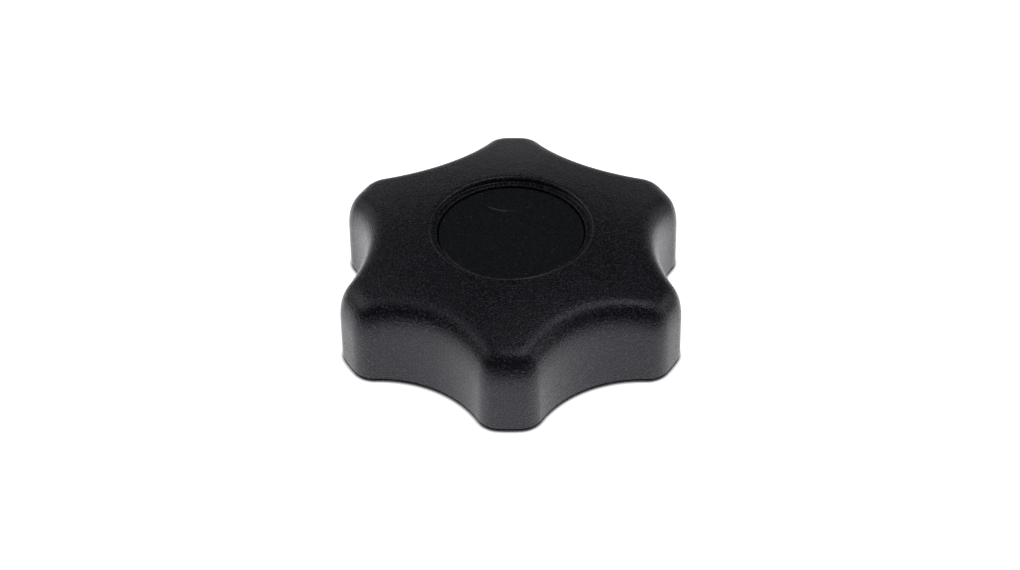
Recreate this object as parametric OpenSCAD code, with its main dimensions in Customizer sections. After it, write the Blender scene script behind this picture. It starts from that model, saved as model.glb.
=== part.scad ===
// Star grip nut: a lobed clamping knob that turns a threaded bush on a stud.
//
// Millimetres, +Z up. The origin is the centre of the flat base, the knob's
// axis is Z, and one lobe points along +Y. The knob is a moulded shell with a
// domed top, stiffened underneath by a hub and radial ribs. The threaded bush
// is moulded into the hub, and a snap-in cap closes the hub at the top.

/* [Knob outline] */
// Diameter over the tips of the lobes
knob_d = 60; // [50:1:72]
// Number of lobes
lobes = 6; // [5:1:7]
// How far each flute cuts in from the lobe circle
flute_depth = 6.1; // [4:0.1:8]
// Width of a lobe's tip, between its two vertical corners
lobe_w = 8.3; // [6.8:0.1:10]
// Radius of the lobes' vertical corners
corner_r = 4; // [1:0.1:4.8]

/* [Domed top] */
// Height at the middle of the dome
knob_h = 18; // [15:0.1:24]
// Radius of the sphere that the top follows
dome_r = 105; // [85:1:300]
// Width of the rounded shoulder, inwards from the wall
shoulder_w = 3.7; // [1.6:0.1:4.4]
// Height of the rounded shoulder, down from the dome
shoulder_h = 6.5; // [3:0.1:8.5]
// Fullness of the shoulder: 2 is an ellipse, more is squarer
shoulder_fullness = 2.85; // [2:0.1:4]
// Corner radius of a lobe's nose at the top of the shoulder
nose_r = 1.6; // [0.8:0.1:3]

/* [Hollow underside] */
// Thickness of the side wall
wall_t = 2.6; // [2:0.1:3.4]
// Thickness of the top under the dome
top_t = 3; // [2.4:0.1:4]
// Size of the rounded corner between the wall and the ceiling inside
inner_shoulder = 1.6; // [0.8:0.1:2]
// Thickness of a rib
rib_t = 2.2; // [1.6:0.1:3]
// How far the ribs stop short of the base
rib_lift = 1.5; // [0.5:0.1:4]
// Outer diameter of the hub at the base
hub_d = 20; // [16.6:0.1:24]
// Wall of the wider cup at the top of the hub
cup_t = 2.8; // [2:0.1:4]

/* [Cap recess] */
// Diameter of the round recess in the dome
recess_d = 25.9; // [21.5:0.1:31.1]
// Depth of the recess, from its edge down to the ledge
recess_depth = 1; // [0.5:0.1:1.6]
// Width of the ledge round the cap
ledge_w = 0.95; // [0.5:0.05:1.6]
// How far the cap's face sits below the ledge
cap_sink = 0.3; // [0:0.05:0.6]
// Depth of the space between the cap's seat and the bush
chamber_depth = 3; // [2.6:0.1:4]

/* [Centre cap] */
// Thickness of the cap's disc
cap_t = 1.6; // [1:0.1:2.2]
// Gap all round the cap's disc
cap_gap = 0.2; // [0.1:0.05:0.4]
// Width of the seat that the cap's disc rests on
seat_w = 2.25; // [1.5:0.05:3]
// Radial clearance of the cap's skirt in the hub
skirt_clearance = 0.05; // [0.03:0.01:0.08]
// Thickness of the skirt
skirt_t = 1.1; // [0.8:0.1:1.6]
// Gap under the skirt
skirt_lift = 0.5; // [0.3:0.1:1]
// Number of spring fingers that the skirt is slit into
fingers = 4; // [3:1:6]
// Width of a slit between two fingers
slit_w = 3; // [1.5:0.5:4]

/* [Threaded bush] */
// Nominal diameter of the thread
thread_d = 10; // [8:0.5:12]
// Pitch of the thread
thread_pitch = 1.5; // [1:0.25:1.5]
// Outer diameter of the bush
bush_d = 14; // [12.8:0.1:16.8]
// Depth of the groove that locks the bush in the plastic
groove_depth = 0.8; // [0.4:0.1:1.2]
// Width of the locking groove
groove_w = 2; // [1:0.5:3]
// Lead-in chamfer at the mouth of the thread
lead_in = 1; // [0.6:0.1:1.4]

/* [Hidden] */

// Segments of half a lobe's outline: tip, corner and flute.
tip_steps = 1;
corner_steps = 3;
flute_steps = 5;
half_steps = tip_steps + corner_steps + flute_steps;
// Rings of the shoulder and of the dome inside it.
shoulder_steps = 7;
dome_steps = 3;
// How far cuts run past a face.
past = 1;
$fn = 96;

// The lobe circle, the valleys, and the flute arc that joins the corners of
// two neighbouring lobes through the valley between them.
knob_r = knob_d / 2;
valley_r = knob_r - flute_depth;
half_pitch = 180 / lobes;
corner_cos = cos(half_pitch - asin(lobe_w / 2 / knob_r));
flute_r = (knob_r ^ 2 + valley_r ^ 2 - 2 * knob_r * valley_r * corner_cos)
    / (2 * (knob_r * corner_cos - valley_r));
flute_reach = valley_r + flute_r;

// Heights, from the rim of the recess down to the bush.
rim_z = dome_z(recess_d / 2);
ledge_z = rim_z - recess_depth;
cap_face_z = ledge_z - cap_sink;
seat_z = cap_face_z - cap_t;
chamber_z = seat_z - chamber_depth;

// Radii of the stepped hole that takes the cap.
pocket_r = recess_d / 2 - ledge_w;
cap_r = pocket_r - cap_gap;
chamber_r = pocket_r - seat_w;
skirt_r = chamber_r - skirt_clearance;
cup_r = chamber_r + cup_t;

// The thread's bore is its minor diameter; a basic profile is 1.0825 pitches deep.
thread_bore_r = (thread_d - 1.0825 * thread_pitch) / 2;
mouth_r = thread_bore_r + lead_in;
bush_r = bush_d / 2;

// Height of the spherical top at a distance from the axis.
function dome_z(r) = knob_h - dome_r + sqrt(dome_r ^ 2 - r ^ 2);

function polar(r, a) = r * [cos(a), sin(a)];

// Half a lobe, from its axis to the middle of the flute, at an inset from the
// wall: an arc about the knob's axis, a rounded corner, then the flute. The
// corner is limited where an inset leaves the lobe too narrow for it.
function half_lobe(inset, corner) =
    let (
        r = knob_r - inset,
        f = flute_r + inset,
        nose = ((r + f) ^ 2 - flute_reach ^ 2)
            / (2 * (r + f - flute_reach * cos(half_pitch))),
        c = min(corner, 0.98 * (r - nose)),
        d = r - c,
        e = f + c,
        tip_a = half_pitch
            - acos((d ^ 2 + flute_reach ^ 2 - e ^ 2) / (2 * d * flute_reach)),
        centre = polar(d, tip_a),
        flute = polar(flute_reach, half_pitch),
        aim = atan2(flute.y - centre.y, flute.x - centre.x)
    )
    concat(
        [for (i = [0 : tip_steps - 1]) polar(r, tip_a * i / tip_steps)],
        [for (i = [0 : corner_steps - 1])
            centre + polar(c, tip_a + (aim - tip_a) * i / corner_steps)],
        [for (i = [0 : flute_steps])
            flute + polar(f, aim + 180 + (half_pitch - aim) * i / flute_steps)]
    );

function turn(p, a) = [p.x * cos(a) - p.y * sin(a), p.x * sin(a) + p.y * cos(a)];

// The whole outline, anticlockwise, with one lobe along +Y.
function outline(inset, corner) =
    let (half = half_lobe(inset, corner))
    [for (k = [0 : lobes - 1]) let (a = 90 + k * 360 / lobes)
        for (i = [-half_steps : half_steps - 1])
            turn(i < 0 ? [half[-i].x, -half[-i].y] : half[i], a)];

// Rings of points up the wall, over a shoulder laid under the dome, and in
// across the dome. The shoulder is a quarter of a superellipse, and drop lowers
// the dome.
function form_rings(inset, drop, width, height, fullness, base_z) =
    concat(
        [[for (p = outline(inset, corner_r)) [p.x, p.y, base_z]]],
        [for (i = [0 : shoulder_steps])
            let (
                a = 90 * i / shoulder_steps,
                in = 1 - cos(a) ^ (2 / fullness),
                down = 1 - sin(a) ^ (2 / fullness),
                ring = outline(inset + width * in, corner_r + (nose_r - corner_r) * in)
            )
            [for (p = ring) [p.x, p.y, dome_z(norm(p)) - drop - height * down]]],
        [for (i = [1 : dome_steps])
            let (s = 1 - i / (dome_steps + 1))
            [for (p = s * outline(inset + width, nose_r)) [p.x, p.y, dome_z(norm(p)) - drop]]]
    );

// Closed solid through the rings, with a fan at the bottom and at the top.
module lobed_form(inset, drop, width, height, fullness, base_z) {
    rings = form_rings(inset, drop, width, height, fullness, base_z);
    n = len(rings[0]);
    top = len(rings) - 1;
    low = n * len(rings);
    polyhedron(
        points = concat(
            [for (ring = rings) for (p = ring) p],
            [[0, 0, base_z], [0, 0, dome_z(0) - drop]]
        ),
        faces = concat(
            [for (j = [0 : top - 1]) for (i = [0 : n - 1])
                [j * n + i, (j + 1) * n + i, (j + 1) * n + (i + 1) % n]],
            [for (j = [0 : top - 1]) for (i = [0 : n - 1])
                [j * n + i, (j + 1) * n + (i + 1) % n, j * n + (i + 1) % n]],
            [for (i = [0 : n - 1]) [low, i, (i + 1) % n]],
            [for (i = [0 : n - 1]) [low + 1, top * n + (i + 1) % n, top * n + i]]
        )
    );
}

// The bush's outside: a cylinder with a locking groove round its middle.
module bush_form() {
    mid_z = chamber_z / 2;
    neck_r = bush_r - groove_depth;
    rotate_extrude()
        polygon([
            [0, 0],
            [bush_r, 0],
            [bush_r, mid_z - groove_w / 2],
            [neck_r, mid_z - groove_w / 2],
            [neck_r, mid_z + groove_w / 2],
            [bush_r, mid_z + groove_w / 2],
            [bush_r, chamber_z],
            [0, chamber_z]
        ]);
}

// The hub: a plain boss at the base that widens into a cup round the chamber.
module hub() {
    cup_z = chamber_z - cup_t;
    flare = cup_r - hub_d / 2;
    rotate_extrude()
        polygon([
            [0, 0],
            [hub_d / 2, 0],
            [hub_d / 2, cup_z - flare],
            [cup_r, cup_z],
            [cup_r, knob_h],
            [0, knob_h]
        ]);
}

// One rib under each flute, from the hub to the wall.
module ribs() {
    for (k = [0 : lobes - 1])
        rotate(90 + half_pitch + k * 360 / lobes)
            translate([hub_d / 2 - past, -rib_t / 2, rib_lift])
                cube([valley_r - hub_d / 2, rib_t, knob_h]);
}

// The hollow underside, less the hub and the ribs that stand in it.
module hollow() {
    difference() {
        lobed_form(wall_t, top_t, inner_shoulder, inner_shoulder, 2, -past);
        translate([0, 0, -past])
            cylinder(r = hub_d / 2, h = 2 * past);
        hub();
        ribs();
    }
}

module knob_body() {
    color([0.06, 0.065, 0.07])
        difference() {
            lobed_form(0, 0, shoulder_w, shoulder_h, shoulder_fullness, 0);
            hollow();
            translate([0, 0, ledge_z])
                cylinder(r = recess_d / 2, h = knob_h);
            translate([0, 0, seat_z])
                cylinder(r = pocket_r, h = knob_h);
            translate([0, 0, chamber_z])
                cylinder(r = chamber_r, h = knob_h);
            bush_form();
        }
}

module threaded_bush() {
    color([0.78, 0.62, 0.33])
        difference() {
            bush_form();
            translate([0, 0, -past])
                cylinder(r = thread_bore_r, h = chamber_z + 2 * past);
            rotate_extrude()
                polygon([[0, -lead_in], [mouth_r + lead_in, -lead_in], [0, mouth_r]]);
        }
}

// The cap: a disc with a ring of spring fingers under it, cut by slits.
module centre_cap() {
    finger_z = chamber_z + skirt_lift;
    color([0.04, 0.045, 0.05])
        difference() {
            rotate_extrude()
                polygon([
                    [0, seat_z],
                    [skirt_r - skirt_t, seat_z],
                    [skirt_r - skirt_t, finger_z],
                    [skirt_r, finger_z],
                    [skirt_r, seat_z],
                    [cap_r, seat_z],
                    [cap_r, cap_face_z],
                    [0, cap_face_z]
                ]);
            for (k = [0 : fingers - 1])
                rotate((k + 0.5) * 360 / fingers)
                    translate([0, -slit_w / 2, chamber_z])
                        cube([skirt_r + past, slit_w, seat_z - chamber_z]);
        }
}

knob_body();
threaded_bush();
centre_cap();
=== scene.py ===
"""Star grip nut: a black moulded knob with a snap-in cap and a threaded brass bush.

Every surface is a grid of points worked out with numpy, in metres, in the same
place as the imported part: the base stands on z = 0, the knob's axis is Z and one
lobe points along +Y. Points in plan are complex numbers, x + iy.
"""

import math

import bmesh
import bpy
import numpy as np
from mathutils import Matrix, Vector


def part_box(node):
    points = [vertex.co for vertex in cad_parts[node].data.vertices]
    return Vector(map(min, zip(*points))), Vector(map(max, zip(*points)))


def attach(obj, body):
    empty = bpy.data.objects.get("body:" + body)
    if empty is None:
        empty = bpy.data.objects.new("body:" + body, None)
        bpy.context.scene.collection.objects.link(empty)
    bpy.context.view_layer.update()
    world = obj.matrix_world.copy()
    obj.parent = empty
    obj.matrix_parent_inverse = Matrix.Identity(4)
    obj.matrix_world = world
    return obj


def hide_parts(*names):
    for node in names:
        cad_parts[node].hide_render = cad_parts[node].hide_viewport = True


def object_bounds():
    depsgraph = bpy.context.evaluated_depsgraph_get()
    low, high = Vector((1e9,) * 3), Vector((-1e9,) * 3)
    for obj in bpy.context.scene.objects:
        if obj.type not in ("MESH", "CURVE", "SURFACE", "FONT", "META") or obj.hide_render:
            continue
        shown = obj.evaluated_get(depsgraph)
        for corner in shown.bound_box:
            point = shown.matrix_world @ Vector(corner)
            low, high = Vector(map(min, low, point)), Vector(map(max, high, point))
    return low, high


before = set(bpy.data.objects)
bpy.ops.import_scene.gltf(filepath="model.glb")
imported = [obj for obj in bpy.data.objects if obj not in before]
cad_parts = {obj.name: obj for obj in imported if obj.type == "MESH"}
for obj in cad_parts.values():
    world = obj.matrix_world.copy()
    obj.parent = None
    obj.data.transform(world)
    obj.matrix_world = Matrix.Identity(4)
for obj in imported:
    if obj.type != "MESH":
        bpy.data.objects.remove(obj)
CAD_BOX = [list(corner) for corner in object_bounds()]
KNOB_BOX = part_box("knob_body")
CAP_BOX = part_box("centre_cap")
BUSH_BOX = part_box("threaded_bush")

bl_info = {
    "name": "Star grip nut",
    "version": (1, 0, 0),
    "blender": (4, 5, 0),
    "location": "View3D > Sidebar > Grip nut",
    "description": "Builds a lobed clamping knob, its cap, its bush and a studio round it",
    "category": "Add Mesh",
}

# Points along half a lobe's outline: on its tip, its corner and its flute.
TIP_POINTS, CORNER_POINTS, FLUTE_POINTS = 6, 10, 24
HALF_POINTS = TIP_POINTS + CORNER_POINTS + FLUTE_POINTS
# Points on the middle line of a rib, between two pockets.
RIB_POINTS = 14
# Steps of a thread's pitch, steps along the bush's outside, and columns for each knurl line.
PITCH_STEPS, BUSH_STEPS, KNURL_COLUMNS = 20, 70, 5
# Small radii: in a hollow's corner, on an edge, and where two pieces meet.
HOLLOW_ROUND, EDGE_ROUND, FIT_ROUND = 0.00015, 0.00012, 0.00008
# How far a side of the bush's groove slopes, and how far a knurl line rises in one spacing.
GROOVE_SLOPE, KNURL_RISE = 0.0002, 0.001
# Middle of a pocket, as a share of the knob's radius.
POCKET_MIDDLE = 0.58
# Repeats per metre of each noise: on the knob, on the cap, and on the bush.
GRAIN_SCALE, PITS_SCALE, MOTTLE_SCALE = 3600.0, 3000.0, 260.0
SKIN_SCALE, CLOUD_SCALE, SPECK_SCALE = 3000.0, 180.0, 620.0
RING_SCALE, STAIN_SCALE = 1500.0, 300.0
# Parts of a noise's range: where a grain's tops start and are whole, and broad unevenness.
TOPS, UNEVEN, STAINED = (0.48, 0.78), (0.3, 0.7), (0.35, 0.65)
# Vertices nearer than this are one vertex.
WELD = 1e-6
# Faces that meet at more than this angle keep a crisp edge.
CRISP = math.radians(40)


def length(label, says, value):
    """A length that the user can change, in metres."""
    return bpy.props.FloatProperty(
        name=label, description=says, default=value, unit="LENGTH", precision=5
    )


def number(label, says, value):
    """A plain number that the user can change."""
    return bpy.props.FloatProperty(name=label, description=says, default=value, precision=3)


def colour(label, says, value):
    """A linear colour that the user can change."""
    return bpy.props.FloatVectorProperty(
        name=label, description=says, default=value, subtype="COLOR", min=0, max=1
    )


def place(label, says, value):
    """A point that the user can move, in metres."""
    return bpy.props.FloatVectorProperty(
        name=label, description=says, default=value, subtype="TRANSLATION", unit="LENGTH"
    )


def power(label, says, value):
    """A lamp's power that the user can change."""
    return bpy.props.FloatProperty(name=label, description=says, default=value, unit="POWER")


class KnobSizes(bpy.types.PropertyGroup):
    """The moulded knob."""

    lobes: bpy.props.IntProperty(name="Lobes", description="Number of lobes", default=6)
    radius: length("Radius", "From the axis to a lobe's tip", KNOB_BOX[1].y)
    flute_depth: length("Flute depth", "How far a flute cuts in from the lobe circle", 0.0061)
    lobe_width: length("Lobe width", "Between the two corners of a lobe's tip", 0.0083)
    corner: length("Corner", "Radius of a lobe's vertical corners", 0.004)
    nose: length("Nose", "Corner radius of a lobe at the top of the shoulder", 0.0016)
    dome: length("Dome", "Radius of the sphere that the top follows", 0.105)
    shoulder_width: length("Shoulder width", "Inwards from the wall", 0.0037)
    shoulder_height: length("Shoulder height", "Down from the dome", 0.0065)
    fullness: number("Fullness", "2 is an elliptic shoulder, more is squarer", 2.85)
    recess: length("Recess", "Radius of the round recess in the dome", 0.01295)
    ledge: length("Ledge", "Width of the ledge round the cap", 0.00095)
    sink: length("Sink", "From the ledge down to the cap's face", 0.0003)
    seat: length("Seat", "Width of the seat under the cap's edge", 0.00225)
    edge: length("Edge", "Radius of the recess's outer edge", 0.0005)
    wall: length("Wall", "Thickness of the side wall", 0.0026)
    top: length("Top", "Thickness of the top under the dome", 0.003)
    hub: length("Hub", "Radius of the hub at the base", 0.010)
    cup: length("Cup", "Wall of the wider cup at the top of the hub", 0.0028)
    rib: length("Rib", "Thickness of a rib", 0.0022)
    rib_lift: length("Rib lift", "How far the ribs stop short of the base", 0.0015)
    line_height: length("Line height", "Of the witness line above the base", 0.0005)
    line_width: length("Line width", "Of the witness line", 0.00026)
    line_depth: length("Line depth", "Of the witness line", 0.00022)
    groove_depth: length("Groove depth", "Of the bush's locking groove", 0.0008)
    groove_width: length("Groove width", "Of the bush's locking groove", 0.002)


class CapSizes(bpy.types.PropertyGroup):
    """The snap-in cap."""

    disc: length("Disc", "Thickness of the disc", 0.0016)
    skirt: length("Skirt", "Outer radius of the skirt", 0.0097)
    skirt_wall: length("Skirt wall", "Thickness of the skirt", 0.0011)
    fingers: bpy.props.IntProperty(name="Fingers", description="Spring fingers", default=4)
    slit: length("Slit", "Width of a slit between two fingers", 0.003)
    edge: length("Edge", "Radius of the disc's upper edge", 0.00022)


class BushSizes(bpy.types.PropertyGroup):
    """The threaded bush."""

    thread: length("Thread", "Nominal radius of the thread", 0.005)
    pitch: length("Pitch", "Pitch of the thread", 0.0015)
    bore: length("Bore", "Minor radius of the thread", 0.0041881)
    lead_in: length("Lead-in", "Chamfer at the mouth of the thread", 0.001)
    knurl: length("Knurl", "Depth of the diamond knurl", 0.0003)
    teeth: bpy.props.IntProperty(name="Teeth", description="Knurl lines each way", default=44)


class Finish(bpy.types.PropertyGroup):
    """Colours and surfaces of the pieces."""

    knob: colour("Knob", "The hollows of the knob's grain", (0.002, 0.0019, 0.003))
    # The grain's lighter tops: partly the grain's own tone, partly a painted glint standing in for
    # light caught by its facets.
    knob_grain_and_glint: colour("Knob grain", "The tops of the knob's grain", (0.080, 0.078, 0.105))
    sheen: colour("Sheen", "Tint of the knob's reflections", (0.90, 0.885, 1.0))
    gloss: number("Gloss", "Strength of the knob's reflections, 0.5 for a plain plastic", 0.44)
    cap: colour("Cap", "The hollows of the cap's grain", (0.0035, 0.0050, 0.0055))
    cap_grain: colour("Cap grain", "The tops of the cap's grain", (0.024, 0.033, 0.036))
    dust: colour("Dust", "Specks and scuffs on the cap", (0.11, 0.12, 0.125))
    scuff_place: place("Scuff's place", "Middle of the cap's scuff", (-0.0005, 0.0056, 0.0159))
    scuff_radius: length("Scuff's radius", "Of the scuff's arc", 0.0055)
    scuff_reach: length("Scuff's reach", "From its middle to its ends", 0.0042)
    brass: colour("Brass", "The bush", (0.58, 0.40, 0.17))
    knob_roughness: number("Knob roughness", "Of the grained plastic", 0.2)
    cap_roughness: number("Cap roughness", "Of the smooth plastic", 0.22)
    grain: length("Grain", "Height of the plastic's grain", 0.00008)


class StageSettings(bpy.types.PropertyGroup):
    """Table, light and camera."""

    table: colour("Table", "Colour of the table", (0.9, 0.9, 0.9))
    table_size: length("Table size", "Side of the square table", 6.0)
    # Painted light: the table glows, brightest in a pool round the knob; this glow lights the knob
    # and shows in its reflections.
    pool: number("Pool", "Brightness of the table round the knob", 1.0)
    pool_rest: number("Pool's rest", "Brightness of the table further out", 0.05)
    pool_place: place("Pool's place", "Middle of the table's bright part", (-0.008, -0.002, 0))
    pool_inner: length("Pool's inner radius", "Where the table starts to dim", 0.05)
    pool_outer: length("Pool's outer radius", "Where the table is dim", 0.085)
    # Painted shadow: the table's glow, as the camera sees it, is darkened in a thin line where the
    # knob meets it.
    painted_contact_shadow: length("Contact", "Width of the dark line where the knob meets the table", 0.0007)
    painted_contact_shadow_dark: number("Contact's dark", "Brightness of that line", 0.2)
    room: colour("Room", "Colour of the room overhead", (0.075, 0.076, 0.081))
    wall: number("Wall", "Brightness of the pale wall low down behind the knob", 0.62)
    wall_top: bpy.props.FloatVectorProperty(
        name="Wall's top",
        description="Heights of a direction where the wall has faded out, and where it is whole",
        size=2,
        default=(0.30, 0.06),
    )
    wall_side: bpy.props.FloatVectorProperty(
        name="Wall's side",
        description="Depths of a direction where the wall starts, and where it is whole",
        size=2,
        default=(0.1, 0.7),
    )
    top_place: place("Top lamp's place", "Middle of the overhead soft lamp", (0.14, -0.02, 0.46))
    top_size: length("Top lamp's size", "Side of the square lamp", 0.25)
    top_power: power("Top lamp's power", "Of the overhead soft lamp", 0.38)
    left_place: place("Left lamp's place", "Middle of the left soft lamp", (-0.38, 0.10, 0.30))
    left_size: length("Left lamp's size", "Side of the square lamp", 0.4)
    left_power: power("Left lamp's power", "Of the soft lamp on the left", 0.46)
    right_place: place("Right lamp's place", "Middle of the right soft lamp", (0.46, 0.03, 0.2))
    right_size: length("Right lamp's size", "Side of the square lamp", 0.26)
    right_power: power("Right lamp's power", "Of the soft lamp on the right", 0.26)
    elevation: number("Elevation", "Camera's angle above the table, in degrees", 40.01)
    turn: number("Turn", "Camera's angle round the knob, in degrees", 1.36)
    roll: number("Roll", "Camera's turn about its own view, in degrees", 0.83)
    distance: length("Distance", "From the camera to the knob", 0.45)
    lens: number("Lens", "Focal length in millimetres on a 36 mm sensor", 96.34)
    aside: length("Aside", "How far the knob's base sits right of the view's centre", 0.00032)
    lower: length("Lower", "How far the knob's base sits below the view's centre", 0.00373)


def half_lobe(knob, inset, corner):
    """Half a lobe's outline for each inset, as (insets, points), its axis along +x.

    An arc about the knob's axis, then a rounded corner, then the arc of the
    flute, whose centre lies outside the valley. An inset shrinks the first arc
    and grows the last by the same amount, and the corner touches both.
    """
    inset = np.atleast_1d(np.asarray(inset, float))[:, None]
    corner = np.broadcast_to(np.atleast_1d(np.asarray(corner, float))[:, None], inset.shape)
    half = math.pi / knob.lobes
    valley = knob.radius - knob.flute_depth
    lean = math.cos(half - math.asin(knob.lobe_width / 2 / knob.radius))
    flute = (knob.radius**2 + valley**2 - 2 * knob.radius * valley * lean) / (
        2 * (knob.radius * lean - valley)
    )
    reach = valley + flute
    tip, flute = knob.radius - inset, flute + inset
    narrow = ((tip + flute) ** 2 - reach**2) / (2 * (tip + flute - reach * math.cos(half)))
    corner = np.minimum(corner, 0.98 * (tip - narrow))
    near, far = tip - corner, flute + corner
    start = half - np.arccos((near**2 + reach**2 - far**2) / (2 * near * reach))
    centre = near * np.exp(1j * start)
    middle = reach * np.exp(1j * half)
    aim = np.angle(middle - centre)
    along_tip = np.arange(TIP_POINTS) / TIP_POINTS
    along_corner = np.arange(CORNER_POINTS) / CORNER_POINTS
    along_flute = np.arange(FLUTE_POINTS + 1) / FLUTE_POINTS
    return np.concatenate(
        [
            tip * np.exp(1j * start * along_tip),
            centre + corner * np.exp(1j * (start + (aim - start) * along_corner)),
            middle + flute * np.exp(1j * (aim + math.pi + (half - aim) * along_flute)),
        ],
        axis=1,
    )


def outline(knob, inset, corner):
    """The whole lobed outline for each inset, anticlockwise from the valley before +Y."""
    half = half_lobe(knob, inset, corner)
    lobe = np.concatenate([np.conj(half[:, :0:-1]), half[:, :-1]], axis=1)
    turns = 1j * np.exp(2j * math.pi * np.arange(knob.lobes) / knob.lobes)
    return (turns[None, :, None] * lobe[:, None, :]).reshape(len(lobe), -1)


def round_outline(knob, radius):
    """A circle for each radius, with as many points as the outline and in step with it."""
    count = 2 * HALF_POINTS * knob.lobes
    angle = math.pi / 2 - math.pi / knob.lobes + 2 * math.pi * np.arange(count) / count
    return np.atleast_1d(np.asarray(radius, float))[:, None] * np.exp(1j * angle)


def dome_height(knob, plan):
    """Height of the spherical top over a point in plan."""
    rim = KNOB_BOX[1].z - math.sqrt(knob.dome**2 - knob.recess**2)
    return rim + np.sqrt(knob.dome**2 - np.abs(plan) ** 2)


def stacked(plan, height):
    """Rows of points from plan positions and heights."""
    height = np.broadcast_to(height, plan.shape)
    return np.stack([plan.real, plan.imag, height], axis=-1)


def rounded(corners, steps=5):
    """A profile of (radius, height) points whose corners are turned by arcs.

    corners lists (radius, height, arc). The arc touches both straight stretches,
    so it starts arc / tan(a / 2) before the corner, where a is the angle between
    them. A point just before and just after each arc keeps flat faces flat.
    """
    points = np.array([c[:2] for c in corners], float)
    made = [points[:1]]
    for (_, _, arc), before, here, after in zip(corners[1:-1], points, points[1:], points[2:]):
        back, ahead = before - here, after - here
        room = min(np.linalg.norm(back), np.linalg.norm(ahead))
        back, ahead = back / np.linalg.norm(back), ahead / np.linalg.norm(ahead)
        angle = math.acos(max(-1.0, min(1.0, float(back @ ahead))))
        reach = arc / math.tan(angle / 2)
        centre = here + (back + ahead) / np.linalg.norm(back + ahead) * arc / math.sin(angle / 2)
        first, last = here + back * reach - centre, here + ahead * reach - centre
        sweep = math.pi - angle
        t = np.linspace(0, 1, steps + 1)[:, None]
        turn = (np.sin((1 - t) * sweep) * first + np.sin(t * sweep) * last) / math.sin(sweep)
        hold = min(0.4 * arc, 0.3 * max(room - reach, 0))
        made += [here + back * (reach + hold), centre + turn, here + ahead * (reach + hold)]
    made.append(points[-1:])
    return np.concatenate([np.atleast_2d(p) for p in made])


def grid_faces(rows, columns, closed, start=0):
    """Quads between neighbouring rows; closed joins the last column to the first."""
    across = np.arange(columns if closed else columns - 1)
    row = np.arange(rows - 1)[:, None] * columns + start
    here, there = row + across, row + (across + 1) % columns
    return np.stack([here, there, there + columns, here + columns], axis=-1).reshape(-1, 4)


def make_piece(name, grids, fans=()):
    """One closed mesh from grids of points and fans that close their poles.

    grids lists (points, closed), where points is (rows, columns, 3). fans lists
    (ring, point): the ring's points all join to that point. Points that
    coincide are merged, and the faces are turned to point outwards.
    """
    points, quads, triangles, count = [], [], [], 0
    for grid, closed in grids:
        rows, columns = grid.shape[:2]
        quads.append(grid_faces(rows, columns, closed, count))
        points.append(grid.reshape(-1, 3))
        count += rows * columns
    for ring, point in fans:
        around = np.arange(len(ring)) + count
        pole = np.full(len(ring), count + len(ring))
        triangles.append(np.stack([around, np.roll(around, -1), pole], axis=-1))
        points += [ring, np.asarray(point, float)[None]]
        count += len(ring) + 1
    mesh = bpy.data.meshes.new(name)
    faces = np.concatenate(quads).tolist()
    faces += np.concatenate(triangles).tolist() if triangles else []
    mesh.from_pydata(np.concatenate(points), [], faces)
    shape = bmesh.new()
    shape.from_mesh(mesh)
    bmesh.ops.remove_doubles(shape, verts=shape.verts, dist=WELD)
    bmesh.ops.dissolve_degenerate(shape, edges=shape.edges, dist=WELD / 10)
    bmesh.ops.recalc_face_normals(shape, faces=shape.faces)
    shape.to_mesh(mesh)
    shape.free()
    mesh.shade_smooth()
    mesh.set_sharp_from_angle(angle=CRISP)
    piece = bpy.data.objects.new(name, mesh)
    bpy.context.scene.collection.objects.link(piece)
    return piece


def shoulder_rows(knob, steps=22):
    """The wall's rounded shoulder: a quarter of a superellipse laid under the dome.

    With across = cos a / d, up = sin a / d and d = (cos^n a + sin^n a)^(1/n), the
    inset is width * (1 - across) and the drop below the dome is height * (1 - up).
    """
    angle = np.linspace(0, math.pi / 2, steps + 1)
    size = (np.cos(angle) ** knob.fullness + np.sin(angle) ** knob.fullness) ** (1 / knob.fullness)
    inward = 1 - np.cos(angle) / size
    down = 1 - np.sin(angle) / size
    corner = knob.corner + (knob.nose - knob.corner) * inward
    plan = outline(knob, knob.shoulder_width * inward, corner)
    return stacked(plan, dome_height(knob, plan) - knob.shoulder_height * down[:, None])


def wall_rows(knob):
    """From the hollow's edge under the rim, round the rim, up to the shoulder's foot.

    A narrow V groove, the witness line of the mould, runs round the wall's foot.
    """
    half_line = knob.line_width / 2
    clear = 4 * knob.line_width
    rim = rounded(
        [
            (knob.wall, knob.rib_lift, 0),
            (knob.wall, 0, 0.0003),
            (0, 0, EDGE_ROUND),
            (0, knob.line_height - half_line, 0.00003),
            (knob.line_depth, knob.line_height, 0.00004),
            (0, knob.line_height + half_line, 0.00005),
            (0, knob.line_height + clear, 0),
        ],
        steps=3,
    )
    plan = outline(knob, rim[:, 0], knob.corner)
    low = stacked(plan, rim[:, 1, None])
    foot = outline(knob, 0, knob.corner)
    start = knob.line_height + clear
    top = dome_height(knob, foot) - knob.shoulder_height
    rise = np.array([0.25, 0.5, 0.75, 0.95])[:, None]
    high = stacked(np.repeat(foot, len(rise), axis=0), start + (top - start) * rise)
    return np.concatenate([low, high])


def dome_rows(knob, steps=16):
    """Across the dome, from the shoulder's inner outline to the recess's round edge."""
    inner = (knob.recess + knob.edge) / (1 - knob.edge / knob.dome)
    start = outline(knob, knob.shoulder_width, knob.nose)
    end = round_outline(knob, inner)
    share = (np.arange(1, steps + 1) / steps)[:, None]
    plan = start + (end - start) * share
    return stacked(plan, dome_height(knob, plan))


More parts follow.
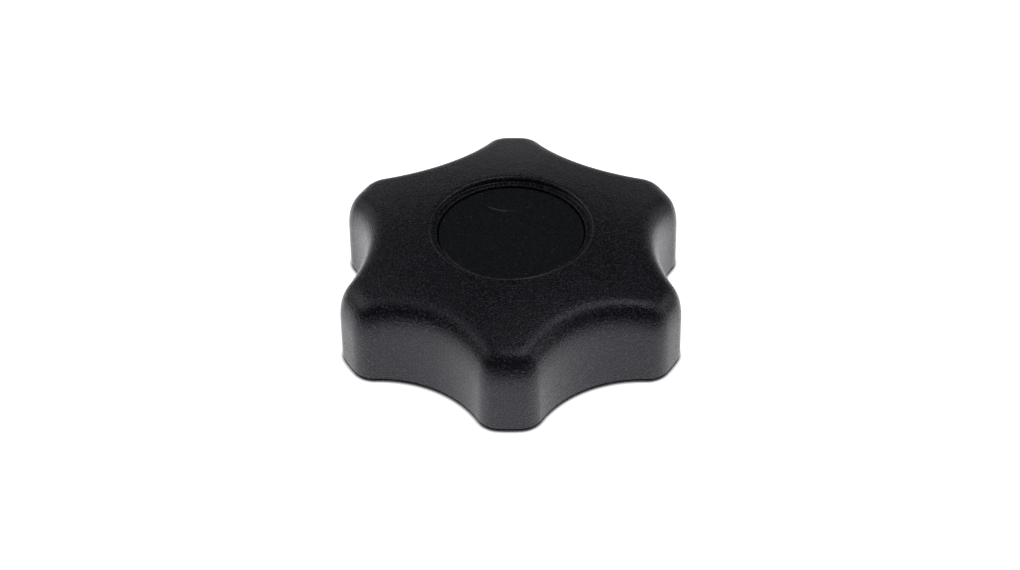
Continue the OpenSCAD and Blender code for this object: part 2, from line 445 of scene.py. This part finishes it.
def core_profile(knob, cap):
    """From the recess's edge down the stepped hole, through the bush's hole to the hub."""
    centre_r = knob.recess + knob.edge
    sphere_z = KNOB_BOX[1].z - math.sqrt(knob.dome**2 - knob.recess**2)
    centre_z = sphere_z + math.sqrt((knob.dome - knob.edge) ** 2 - centre_r**2)
    lean = math.asin(centre_r / (knob.dome - knob.edge))
    turn = np.linspace(lean, -math.pi / 2, 9)[1:]
    lip_r, lip_z = centre_r + knob.edge * np.sin(turn), centre_z + knob.edge * np.cos(turn)
    lip = np.stack([lip_r, lip_z], axis=1)
    pocket = knob.recess - knob.ledge
    chamber = pocket - knob.seat
    ledge_z = CAP_BOX[1].z + knob.sink
    seat_z = CAP_BOX[1].z - cap.disc
    chamber_z = BUSH_BOX[1].z
    bush, neck = BUSH_BOX[1].x, BUSH_BOX[1].x - knob.groove_depth
    middle, half = chamber_z / 2, knob.groove_width / 2
    steps = rounded(
        [
            (knob.recess, lip[-1, 1], 0),
            (knob.recess, ledge_z, HOLLOW_ROUND),
            (pocket, ledge_z, EDGE_ROUND),
            (pocket, seat_z, HOLLOW_ROUND),
            (chamber, seat_z, EDGE_ROUND),
            (chamber, chamber_z, 0.0004),
            (bush, chamber_z, FIT_ROUND),
            (bush, middle + half, FIT_ROUND),
            (neck, middle + half, FIT_ROUND),
            (neck, middle - half, FIT_ROUND),
            (bush, middle - half, FIT_ROUND),
            (bush, 0, FIT_ROUND),
            (knob.hub, 0, 0.0003),
            (knob.hub, knob.rib_lift, 0),
        ],
        steps=3,
    )
    return np.concatenate([lip, steps[1:]])


def first_hit(centre, direction, radius):
    """One over the distance from a point on the x axis to a circle about the origin."""
    along = -centre * np.cos(direction)
    spread = along**2 - (centre**2 - radius**2)
    meets = (spread > 0) & (along > 0)
    return np.where(meets, 1 / (along - np.sqrt(np.where(meets, spread, 0))), 0)


def pocket_rows(knob):
    """One lobe's pocket in the underside, its lobe along +x: rows and the ceiling's middle.

    Each row is a ring of points seen from the pocket's middle. A point's distance
    is the smooth minimum of its distances to the wall or hub, to the two ribs'
    faces and to the cup, (sum of d^-p)^(-1/p), so the corners between them are
    rounded. Rows go in from the edge that the pocket shares with the ribs' lower
    faces, round the mouth, up the drafted walls, round the ceiling's edge and
    under the dome.
    """
    half = math.pi / knob.lobes
    wall = half_lobe(knob, knob.wall, knob.corner)[0]
    wall = np.concatenate([np.conj(wall[::-1]), wall[1:]])
    hub = knob.hub * np.exp(1j * np.linspace(half, -half, 2 * HALF_POINTS + 1))
    share = np.arange(1, RIB_POINTS) / RIB_POINTS
    left = wall[-1] + (hub[0] - wall[-1]) * share
    right = hub[-1] + (wall[0] - hub[-1]) * share
    edge = np.concatenate([wall, left, hub, right])

    middle = POCKET_MIDDLE * knob.radius
    reach = np.abs(edge - middle)
    aim = np.angle(edge - middle)
    ray = np.exp(1j * aim)
    sharpness = 16
    cup_z = BUSH_BOX[1].z - knob.cup
    cup = knob.recess - knob.ledge - knob.seat + knob.cup
    flare_z = cup_z - (cup - knob.hub)

    def ring(inset, height):
        """Plan of the pocket's wall at an inset and, point by point, a height."""
        hub_radius = np.clip(knob.hub + height - flare_z, knob.hub, cup) + inset
        rib = middle * math.sin(half) - knob.rib / 2 - inset
        sides = [np.maximum(np.sin(sign * aim - half), 0) / rib for sign in (1, -1)]
        near = [1 / (reach - inset), *sides, first_hit(middle, aim, hub_radius)]
        distance = np.sum(np.array(near) ** sharpness, axis=0) ** (-1 / sharpness)
        return middle + distance * ray, distance

    step, lip, bend, draft = 0.00012, 0.00015, 0.0013, math.tan(math.radians(0.5))
    lift = knob.rib_lift
    rows = [stacked(edge, lift)]
    for turn in np.linspace(0, math.pi / 2, 4):
        plan, _ = ring(step + lip * math.sin(turn), np.full(edge.shape, lift))
        rows.append(stacked(plan, lift + lip * (1 - math.cos(turn))))
    start = step + lip
    plan, _ = ring(start, np.full(edge.shape, cup_z))
    foot = lift + lip
    top = dome_height(knob, plan) - knob.top - bend
    shares = (np.array([flare_z, (flare_z + cup_z) / 2, cup_z]) - foot) / (top.min() - foot)
    shares = np.sort(np.concatenate([[0.12, 0.25, 0.8, 0.92, 1], shares, shares[:1] - 0.03]))
    for rise in shares:
        height = foot + (top - foot) * rise
        plan, distance = ring(start + draft * (height - foot), height)
        rows.append(stacked(plan, height))
    for turn in np.linspace(0, math.pi / 2, 6)[1:]:
        spot = middle + (distance - bend * (1 - math.cos(turn))) * ray
        roof = dome_height(knob, spot) - knob.top
        rows.append(stacked(spot, roof - bend * (1 - math.sin(turn))))
    for share in (0.8, 0.55, 0.3):
        spot = middle + (distance - bend) * share * ray
        rows.append(stacked(spot, dome_height(knob, spot) - knob.top))
    roof = dome_height(knob, np.array([middle + 0j]))[0] - knob.top
    return np.stack(rows), np.array([middle, 0, roof])


def turned(points, angle):
    """Points turned about Z."""
    plan = (points[..., 0] + 1j * points[..., 1]) * np.exp(1j * angle)
    return np.stack([plan.real, plan.imag, points[..., 2]], axis=-1)


def spun(knob, profile):
    """A profile of (radius, height) points turned about Z, in step with the outline."""
    return stacked(round_outline(knob, profile[:, 0]), profile[:, 1, None])


def knob_shape(knob, cap):
    """The knob's closed surface: walls, dome and core, and a pocket under each lobe."""
    core = spun(knob, core_profile(knob, cap))
    skin = np.concatenate([wall_rows(knob), shoulder_rows(knob), dome_rows(knob), core])
    pocket, roof = pocket_rows(knob)
    angles = math.pi / 2 + 2 * math.pi * np.arange(knob.lobes) / knob.lobes
    grids = [(skin, True)] + [(turned(pocket, angle), True) for angle in angles]
    fans = [(turned(pocket[-1], angle), turned(roof, angle)) for angle in angles]
    return make_piece("knob_body_visual", grids, fans)


def cap_shape(cap):
    """The cap: a disc with a rounded edge over a ring of spring fingers.

    A column's angle grows along each finger and each slit in turn. A slit's edge
    stands half a slit's width from its middle plane at every radius, and in a
    slit the rows of the skirt lie flat under the disc.
    """
    disc = CAP_BOX[1].x
    top, tip = CAP_BOX[1].z, CAP_BOX[0].z
    under = top - cap.disc
    outer, inner = cap.skirt, cap.skirt - cap.skirt_wall
    finger_steps, slit_steps = 44, 12
    quarter = 2 * math.pi / cap.fingers

    def angles(radius):
        """Angle of each column at a radius no less than the skirt's inside."""
        half_slit = math.asin(cap.slit / 2 / radius)
        finger = np.linspace(half_slit, quarter - half_slit, finger_steps)
        slit = np.linspace(quarter - half_slit, quarter + half_slit, slit_steps)
        one = np.concatenate([finger, slit]) + quarter / 2
        return np.concatenate([one + quarter * k for k in range(cap.fingers)])

    is_finger = np.tile(np.repeat([True, False], [finger_steps, slit_steps]), cap.fingers)
    rim = rounded(
        [
            (outer, under, 0),
            (disc, under, EDGE_ROUND),
            (disc, top, cap.edge),
            (0.0, top, 0),
        ]
    )
    rows = []
    blunt = 0.00015
    skirt = [(inner, under), (inner, tip + blunt), (inner + blunt, tip), (outer - blunt, tip)]
    skirt += [(outer, tip + blunt), (outer, under)]
    for radius, height in skirt:
        plan = radius * np.exp(1j * angles(radius))
        rows.append(stacked(plan, np.where(is_finger, height, under)))
    for radius, height in rim[1:-1]:
        rows.append(stacked(radius * np.exp(1j * angles(outer)), height))
    for share in (0.8, 0.6, 0.4, 0.2):
        plan = disc * share * np.exp(1j * angles(outer))
        rows.append(stacked(plan, top))
    low = [rows[0]]
    for share in (0.75, 0.5, 0.25):
        low.insert(0, stacked(inner * share * np.exp(1j * angles(inner)), under))
    grid = np.stack(low[:-1] + rows)
    fans = [(grid[-1], (0, 0, top)), (grid[0][::-1], (0, 0, under))]
    return make_piece("centre_cap_visual", [(grid, True)], fans)


def bush_shape(bush, knob):
    """The brass bush: an inside thread, a knurled outside and a locking groove.

    Inside, the radius at a turn t and a height z is the thread's outer radius less
    the slope of a flank times the distance from the nearest root, held between the
    bore and that outer radius and opened by the lead-in cone. Outside, two sets of
    slanted V lines cut a diamond knurl into whatever the profile leaves full.
    """
    columns = KNURL_COLUMNS * bush.teeth
    long = BUSH_BOX[1].z
    full, neck = BUSH_BOX[1].x, BUSH_BOX[1].x - knob.groove_depth
    turn = np.arange(columns) / columns
    ring = np.exp(2j * math.pi * turn)
    flank = math.tan(math.radians(60))

    rise = np.linspace(0, long, int(PITCH_STEPS * long / bush.pitch))[:, None]
    offset = np.abs((rise / bush.pitch - turn) % 1 - 0.5) * bush.pitch
    radius = np.clip(bush.thread - flank * (offset - bush.pitch / 16), bush.bore, bush.thread)
    for start in (rise, long - rise):
        radius = np.maximum(radius, bush.bore + bush.lead_in - start)
    inside = stacked(radius * ring, rise)

    middle, half = long / 2, knob.groove_width / 2
    bevel = 0.00025
    outside = [(full - bevel, 0), (full, bevel), (full, middle - half)]
    outside += [(neck, middle - half + GROOVE_SLOPE), (neck, middle + half - GROOVE_SLOPE)]
    outside += [(full, middle + half), (full, long - bevel)]
    outside += [(full - bevel, long)]
    outside = np.array(outside)
    rise = np.unique(np.concatenate([np.linspace(0, long, BUSH_STEPS), outside[:, 1]]))
    rise = rise[np.concatenate([[True], np.diff(rise) > 1e-5])][:, None]
    body = np.interp(rise, outside[:, 1], outside[:, 0])
    along, climb = bush.teeth * turn, rise / KNURL_RISE
    lines = [np.abs((along + lean * climb) % 1 - 0.5) * 2 for lean in (1, -1)]
    cut = bush.knurl * np.maximum(*lines)
    cut = np.where(body > full - 1e-6, cut, 0)
    outer = stacked((body - cut) * ring, rise)
    skin = np.concatenate([inside, outer[::-1], inside[:1]])
    return make_piece("threaded_bush_visual", [(skin, True)])


def surface(name, base, roughness, metallic=0.0, specular=0.5):
    """A material with one Principled shader, and functions that add and join nodes."""
    material = bpy.data.materials.new(name)
    material.use_nodes = True
    nodes, links = material.node_tree.nodes, material.node_tree.links
    shader = nodes["Principled BSDF"]
    shader.inputs["Base Color"].default_value = (*base, 1)
    shader.inputs["Roughness"].default_value = roughness
    shader.inputs["Metallic"].default_value = metallic
    shader.inputs["Specular IOR Level"].default_value = specular

    def add(kind, **values):
        """A node with its properties and inputs set by name."""
        node = nodes.new(kind)
        for key, value in values.items():
            if hasattr(node, key):
                setattr(node, key, value)
            else:
                node.inputs[key.replace("_", " ")].default_value = value
        return node

    return material, shader, add, links.new


def mapped(add, join, source, output, low, high, to_low, to_high):
    """A Map Range node that carries one range of a value to another."""
    node = add(
        "ShaderNodeMapRange", From_Min=low, From_Max=high, To_Min=to_low, To_Max=to_high
    )
    join(source.outputs[output], node.inputs["Value"])
    return node


def tinted(add, join, factor, dark, light):
    """A mix of two colours by a value."""
    node = add("ShaderNodeMix", data_type="RGBA")
    node.inputs[6].default_value = (*dark, 1)
    node.inputs[7].default_value = (*light, 1)
    join(factor, node.inputs[0])
    return node.outputs[2]


def grained_plastic(finish):
    """Black moulded plastic with a spark-eroded grain, a little polished by handling."""
    material, shader, add, join = surface(
        "grained_plastic", finish.knob, finish.knob_roughness, specular=finish.gloss
    )
    shader.inputs["Specular Tint"].default_value = (*finish.sheen, 1)
    coords = add("ShaderNodeTexCoord")
    grain = add("ShaderNodeTexNoise", Scale=GRAIN_SCALE, Detail=2.5, Roughness=0.6)
    pits = add("ShaderNodeTexVoronoi", feature="SMOOTH_F1", Scale=PITS_SCALE, Randomness=1.0)
    mottle = add("ShaderNodeTexNoise", Scale=MOTTLE_SCALE, Detail=4.0, Roughness=0.6)
    for node in (grain, pits, mottle):
        join(coords.outputs["Object"], node.inputs["Vector"])
    height = add("ShaderNodeMath", operation="MULTIPLY_ADD")
    join(pits.outputs["Distance"], height.inputs[0])
    height.inputs[1].default_value = 0.5
    join(grain.outputs["Fac"], height.inputs[2])
    bump = add("ShaderNodeBump", Strength=1.0, Distance=finish.grain)
    join(height.outputs[0], bump.inputs["Height"])
    join(bump.outputs["Normal"], shader.inputs["Normal"])
    # Lighter grain tops: the grain's tone together with a painted glint of its facets.
    tone = mapped(add, join, grain, "Fac", *TOPS, 0, 1)
    base = tuple(finish.knob)
    join(tinted(add, join, tone.outputs[0], base, finish.knob_grain_and_glint), shader.inputs["Base Color"])
    rough = finish.knob_roughness
    fine = mapped(add, join, grain, "Fac", 0.35, 0.7, rough + 0.09, rough - 0.07)
    broad = mapped(add, join, mottle, "Fac", *UNEVEN, -0.04, 0.04)
    shine = add("ShaderNodeMath", operation="ADD")
    join(fine.outputs[0], shine.inputs[0])
    join(broad.outputs[0], shine.inputs[1])
    join(shine.outputs[0], shader.inputs["Roughness"])
    return material


def smooth_plastic(finish):
    """The cap's smoother black plastic, with one faint curved scuff and specks of dust.

    The scuff is where the distance from the arc's centre is near its radius, near
    enough to the arc's middle, and broken up by the broad noise.
    """
    material, shader, add, join = surface("smooth_plastic", finish.cap, finish.cap_roughness)
    coords = add("ShaderNodeTexCoord")
    skin = add("ShaderNodeTexNoise", Scale=SKIN_SCALE, Detail=3.0, Roughness=0.6)
    cloud = add("ShaderNodeTexNoise", Scale=CLOUD_SCALE, Detail=4.0, Roughness=0.65)
    for node in (skin, cloud):
        join(coords.outputs["Object"], node.inputs["Vector"])
    bump = add("ShaderNodeBump", Strength=1.0, Distance=finish.grain * 0.35)
    join(skin.outputs["Fac"], bump.inputs["Height"])
    join(bump.outputs["Normal"], shader.inputs["Normal"])
    rough = finish.cap_roughness
    shine = mapped(add, join, cloud, "Fac", *UNEVEN, rough - 0.05, rough + 0.05)
    join(shine.outputs[0], shader.inputs["Roughness"])
    specks = add("ShaderNodeTexVoronoi", feature="F1", Scale=SPECK_SCALE, Randomness=1.0)
    join(coords.outputs["Object"], specks.inputs["Vector"])
    dust = mapped(add, join, specks, "Distance", 0.04, 0.085, 1, 0)
    middle = Vector(finish.scuff_place)
    arc = add("ShaderNodeVectorMath", operation="DISTANCE")
    near = add("ShaderNodeVectorMath", operation="DISTANCE")
    for node, centre in ((arc, middle + Vector((0, finish.scuff_radius, 0))), (near, middle)):
        join(coords.outputs["Object"], node.inputs[0])
        node.inputs[1].default_value = centre
    off = add("ShaderNodeMath", operation="SUBTRACT")
    join(arc.outputs["Value"], off.inputs[0])
    off.inputs[1].default_value = finish.scuff_radius
    width = add("ShaderNodeMath", operation="ABSOLUTE")
    join(off.outputs[0], width.inputs[0])
    line = mapped(add, join, width, "Value", 0.00006, 0.00022, 1, 0)
    ends = mapped(add, join, near, "Value", 0.7 * finish.scuff_reach, finish.scuff_reach, 1, 0)
    broken = mapped(add, join, cloud, "Fac", 0.42, 0.6, 0, 1)
    worn = line
    for other in (ends, broken):
        both = add("ShaderNodeMath", operation="MULTIPLY")
        join(worn.outputs[0], both.inputs[0])
        join(other.outputs[0], both.inputs[1])
        worn = both
    marks = add("ShaderNodeMath", operation="MAXIMUM")
    join(worn.outputs[0], marks.inputs[0])
    join(dust.outputs[0], marks.inputs[1])
    tone = mapped(add, join, skin, "Fac", *TOPS, 0, 1)
    plastic = tinted(add, join, tone.outputs[0], tuple(finish.cap), tuple(finish.cap_grain))
    mix = add("ShaderNodeMix", data_type="RGBA")
    join(marks.outputs[0], mix.inputs[0])
    join(plastic, mix.inputs[6])
    mix.inputs[7].default_value = (*finish.dust, 1)
    join(mix.outputs[2], shader.inputs["Base Color"])
    return material


def turned_brass(finish):
    """Dull turned brass, with the tool's fine rings on every face round the axis."""
    material, shader, add, join = surface("turned_brass", finish.brass, 0.34, metallic=1.0)
    coords = add("ShaderNodeTexCoord")
    rings = add(
        "ShaderNodeTexWave",
        wave_type="RINGS",
        rings_direction="Z",
        Scale=RING_SCALE,
        Distortion=0.4,
    )
    stain = add("ShaderNodeTexNoise", Scale=STAIN_SCALE, Detail=5.0, Roughness=0.65)
    for node in (rings, stain):
        join(coords.outputs["Object"], node.inputs["Vector"])
    bump = add("ShaderNodeBump", Strength=1.0, Distance=0.000006)
    join(rings.outputs["Fac"], bump.inputs["Height"])
    join(bump.outputs["Normal"], shader.inputs["Normal"])
    tone = mapped(add, join, stain, "Fac", *STAINED, 0, 1)
    base = tuple(finish.brass)
    dark = tuple(0.72 * c for c in base)
    join(tinted(add, join, tone.outputs[0], dark, base), shader.inputs["Base Color"])
    shine = mapped(add, join, stain, "Fac", *STAINED, 0.42, 0.28)
    join(shine.outputs[0], shader.inputs["Roughness"])
    return material


def make_table(stage):
    """A wide white table, with a pool of light round the knob in what the knob reflects.

    The camera sees it white, with a painted contact shadow, a thin dark line where
    the knob touches it. It can be seen through from below, so that the underside can be
    looked at.
    """
    material, shader, add, join = surface("white_table", stage.table, 0.7, specular=0.2)
    coords = add("ShaderNodeTexCoord")
    away = add("ShaderNodeVectorMath", operation="DISTANCE")
    join(coords.outputs["Object"], away.inputs[0])
    away.inputs[1].default_value = stage.pool_place
    # Painted light: the table's glow for all rays but the camera's, a pool round the knob that
    # fades further out.
    pool = mapped(
        add, join, away, "Value", stage.pool_inner, stage.pool_outer, stage.pool, stage.pool_rest
    )
    pool.interpolation_type = "SMOOTHSTEP"
    ray = add("ShaderNodeLightPath")
    glow = add("ShaderNodeMix", data_type="FLOAT")
    join(ray.outputs["Is Camera Ray"], glow.inputs["Factor"])
    join(pool.outputs[0], glow.inputs["A"])
    # Painted contact shadow: ambient occlusion darkens the glow that the camera sees near the
    # knob's base.
    painted_contact_shadow = add("ShaderNodeAmbientOcclusion", samples=8, Distance=stage.painted_contact_shadow)
    seen_with_contact_shadow = mapped(add, join, painted_contact_shadow, "AO", 0.5, 0.95, stage.painted_contact_shadow_dark, 1)
    join(seen_with_contact_shadow.outputs[0], glow.inputs["B"])
    shader.inputs["Emission Color"].default_value = (1, 1, 1, 1)
    join(glow.outputs[0], shader.inputs["Emission Strength"])
    side_seen = add("ShaderNodeNewGeometry")
    clear = add("ShaderNodeBsdfTransparent")
    either = add("ShaderNodeMixShader")
    join(side_seen.outputs["Backfacing"], either.inputs[0])
    join(shader.outputs[0], either.inputs[1])
    join(clear.outputs[0], either.inputs[2])
    join(either.outputs[0], material.node_tree.nodes["Material Output"].inputs["Surface"])
    mesh = bpy.data.meshes.new("table")
    side = stage.table_size / 2
    plan = side * np.array([-1 - 1j, 1 - 1j, 1 + 1j, -1 + 1j])
    mesh.from_pydata(stacked(plan, CAD_BOX[0][2] - WELD), [], [(0, 1, 2, 3)])
    mesh.materials.append(material)
    table = bpy.data.objects.new("table", mesh)
    bpy.context.scene.collection.objects.link(table)


def make_room(stage):
    """A dim room with a pale wall low down behind the knob, by a direction's height and depth."""
    world = bpy.data.worlds.new("room")
    bpy.context.scene.world = world
    world.use_nodes = True
    nodes, links = world.node_tree.nodes, world.node_tree.links
    back = nodes["Background"]
    coords = nodes.new("ShaderNodeTexCoord")
    parts = nodes.new("ShaderNodeSeparateXYZ")
    links.new(coords.outputs["Generated"], parts.inputs["Vector"])
    low, behind = nodes.new("ShaderNodeMapRange"), nodes.new("ShaderNodeMapRange")
    for node, axis, start, end in ((low, "Z", *stage.wall_top), (behind, "Y", *stage.wall_side)):
        node.interpolation_type = "SMOOTHSTEP"
        node.inputs["From Min"].default_value = start
        node.inputs["From Max"].default_value = end
        links.new(parts.outputs[axis], node.inputs["Value"])
    both = nodes.new("ShaderNodeMath")
    both.operation = "MULTIPLY"
    links.new(low.outputs[0], both.inputs[0])
    links.new(behind.outputs[0], both.inputs[1])
    mix = nodes.new("ShaderNodeMix")
    mix.data_type = "RGBA"
    links.new(both.outputs[0], mix.inputs[0])
    mix.inputs[6].default_value = (*stage.room, 1)
    mix.inputs[7].default_value = (stage.wall, stage.wall, stage.wall, 1)
    links.new(mix.outputs[2], back.inputs["Color"])


def make_lamp(name, middle, size, watts):
    """A square soft lamp at a place, turned to face the knob."""
    light = bpy.data.lights.new(name, "AREA")
    light.shape = "SQUARE"
    light.size = size
    light.energy = watts
    lamp = bpy.data.objects.new(name, light)
    bpy.context.scene.collection.objects.link(lamp)
    lamp.location = middle
    lamp.rotation_euler = (-Vector(middle)).to_track_quat("-Z", "Y").to_euler()


def make_camera(stage):
    """The camera, set by its angles and by where the knob's base stands in the view."""
    raised, rolled = math.radians(stage.elevation), math.radians(stage.roll)
    aside = Vector((1, 0, 0))
    up = Vector((0, math.sin(raised), math.cos(raised)))
    ahead = Vector((0, math.cos(raised), -math.sin(raised)))
    stand = -(stage.aside * aside - stage.lower * up + stage.distance * ahead)
    right = aside * math.cos(rolled) - up * math.sin(rolled)
    upright = aside * math.sin(rolled) + up * math.cos(rolled)
    axes = Matrix((right, upright, -ahead)).transposed().to_4x4()
    camera = bpy.data.objects.new("camera", bpy.data.cameras.new("camera"))
    bpy.context.scene.collection.objects.link(camera)
    about = Matrix.Rotation(math.radians(stage.turn), 4, "Z")
    camera.matrix_world = about @ Matrix.Translation(stand) @ axes
    camera.data.sensor_width = 36
    camera.data.lens = stage.lens
    camera.data.clip_start = 0.01
    bpy.context.scene.camera = camera


class MESH_OT_grip_nut_knob(bpy.types.Operator):
    """Add the moulded knob with its lobes, recess and ribbed underside"""

    bl_idname = "mesh.grip_nut_knob"
    bl_label = "Moulded knob"

    def execute(self, context):
        scene = context.scene
        piece = knob_shape(scene.grip_nut_knob, scene.grip_nut_cap)
        piece.data.materials.append(grained_plastic(scene.grip_nut_finish))
        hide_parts("knob_body")
        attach(piece, "knob")
        return {"FINISHED"}


class MESH_OT_grip_nut_bush(bpy.types.Operator):
    """Add the threaded brass bush in the knob's hub"""

    bl_idname = "mesh.grip_nut_bush"
    bl_label = "Threaded bush"

    def execute(self, context):
        scene = context.scene
        piece = bush_shape(scene.grip_nut_bush, scene.grip_nut_knob)
        piece.data.materials.append(turned_brass(scene.grip_nut_finish))
        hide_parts("threaded_bush")
        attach(piece, "knob")
        return {"FINISHED"}


class MESH_OT_grip_nut_cap(bpy.types.Operator):
    """Add the snap-in cap with its spring fingers"""

    bl_idname = "mesh.grip_nut_cap"
    bl_label = "Snap-in cap"

    def execute(self, context):
        scene = context.scene
        piece = cap_shape(scene.grip_nut_cap)
        piece.data.materials.append(smooth_plastic(scene.grip_nut_finish))
        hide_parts("centre_cap")
        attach(piece, "cap")
        return {"FINISHED"}


class SCENE_OT_grip_nut_stage(bpy.types.Operator):
    """Add the white table, the room, the soft lamps and the camera"""

    bl_idname = "scene.grip_nut_stage"
    bl_label = "Stage"

    def execute(self, context):
        stage = context.scene.grip_nut_stage
        make_table(stage)
        make_room(stage)
        make_lamp("top_lamp", stage.top_place, stage.top_size, stage.top_power)
        make_lamp("left_lamp", stage.left_place, stage.left_size, stage.left_power)
        make_lamp("right_lamp", stage.right_place, stage.right_size, stage.right_power)
        make_camera(stage)
        context.scene.view_settings.view_transform = "Standard"
        return {"FINISHED"}


class VIEW3D_PT_grip_nut(bpy.types.Panel):
    """The grip nut's pieces, sizes and finishes"""

    bl_idname = "VIEW3D_PT_grip_nut"
    bl_label = "Star grip nut"
    bl_space_type = "VIEW_3D"
    bl_region_type = "UI"
    bl_category = "Grip nut"

    def draw(self, context):
        for group, operator in STEPS:
            box = self.layout.box()
            box.operator(operator.bl_idname)
            settings = getattr(context.scene, group)
            for name in settings.bl_rna.properties.keys():
                if name not in ("rna_type", "name"):
                    box.prop(settings, name)
        finish = self.layout.box()
        for name in context.scene.grip_nut_finish.bl_rna.properties.keys():
            if name not in ("rna_type", "name"):
                finish.prop(context.scene.grip_nut_finish, name)


GROUPS = {
    "grip_nut_knob": KnobSizes,
    "grip_nut_bush": BushSizes,
    "grip_nut_cap": CapSizes,
    "grip_nut_stage": StageSettings,
    "grip_nut_finish": Finish,
}
STEPS = [
    ("grip_nut_knob", MESH_OT_grip_nut_knob),
    ("grip_nut_bush", MESH_OT_grip_nut_bush),
    ("grip_nut_cap", MESH_OT_grip_nut_cap),
    ("grip_nut_stage", SCENE_OT_grip_nut_stage),
]
CLASSES = [*GROUPS.values(), *(operator for _, operator in STEPS), VIEW3D_PT_grip_nut]


def register():
    for kind in CLASSES:
        bpy.utils.register_class(kind)
    for name, kind in GROUPS.items():
        setattr(bpy.types.Scene, name, bpy.props.PointerProperty(type=kind))


def unregister():
    for name in GROUPS:
        delattr(bpy.types.Scene, name)
    for kind in reversed(CLASSES):
        bpy.utils.unregister_class(kind)


def main():
    register()
    bpy.ops.mesh.grip_nut_knob()
    bpy.ops.mesh.grip_nut_bush()
    bpy.ops.mesh.grip_nut_cap()
    bpy.ops.scene.grip_nut_stage()


if __name__ == "__main__":
    main()
